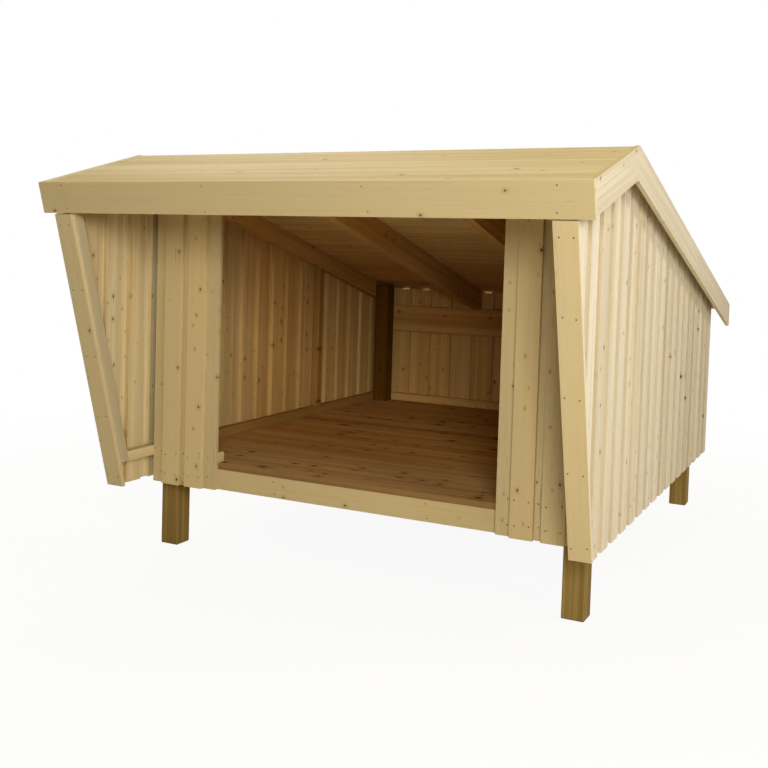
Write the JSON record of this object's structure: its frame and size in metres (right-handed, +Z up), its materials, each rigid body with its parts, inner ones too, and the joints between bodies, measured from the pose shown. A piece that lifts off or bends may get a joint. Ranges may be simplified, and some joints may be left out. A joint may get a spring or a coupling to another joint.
{
  "type": "open-fronted timber shelter",
  "caption": "Raised open-fronted timber shelter on square posts, with board-on-board walls, raked side edges and a gable roof whose rear slope is long.",
  "frame": {"origin": "on the ground, under the middle of the bounding box", "axes": "+X to the right, +Y to the back (the open front faces -Y), +Z up"},
  "size_m": [2.4, 3.193, 1.865],
  "materials": {
    "cladding": "planed spruce boards, unpainted",
    "roof": "planed spruce boards, unpainted",
    "floor": "planed spruce boards, unpainted",
    "framing": "planed spruce timber, unpainted",
    "treated_post": "pressure-treated timber, brown-green"
  },
  "bodies": {
    "root": {"post_front_left": "treated_post", "post_front_right": "treated_post", "post_back_left": "treated_post", "post_back_right": "treated_post", "front_floor_beam": "framing", "back_floor_beam": "framing", "floor_joists": "framing", "floor_boards": "floor", "front_header": "framing", "left_bottom_rail": "framing", "right_bottom_rail": "framing", "left_panel_rail": "framing", "right_panel_rail": "framing", "left_raked_stud": "framing", "right_raked_stud": "framing", "left_middle_stud": "framing", "right_middle_stud": "framing", "front_rafters": "framing", "rear_rafters": "framing", "left_side_rafter_front": "framing", "right_side_rafter_front": "framing", "left_side_rafter_rear": "framing", "right_side_rafter_rear": "framing", "back_top_rail": "framing", "back_strip": "framing", "back_bottom_rail": "framing", "left_wall_inner_boards": "cladding", "left_wall_outer_boards": "cladding", "right_wall_inner_boards": "cladding", "right_wall_outer_boards": "cladding", "back_wall_inner_boards": "cladding", "back_wall_outer_boards": "cladding", "left_panel_inner_boards": "cladding", "left_panel_outer_boards": "cladding", "right_panel_inner_boards": "cladding", "right_panel_outer_boards": "cladding", "front_roof_boards": "roof", "rear_roof_boards": "roof", "fascia": "cladding", "left_front_bargeboard": "cladding", "right_front_bargeboard": "cladding", "left_rear_bargeboard": "cladding", "right_rear_bargeboard": "cladding", "left_front_trim": "cladding", "right_front_trim": "cladding"}
  },
  "joints": []
}
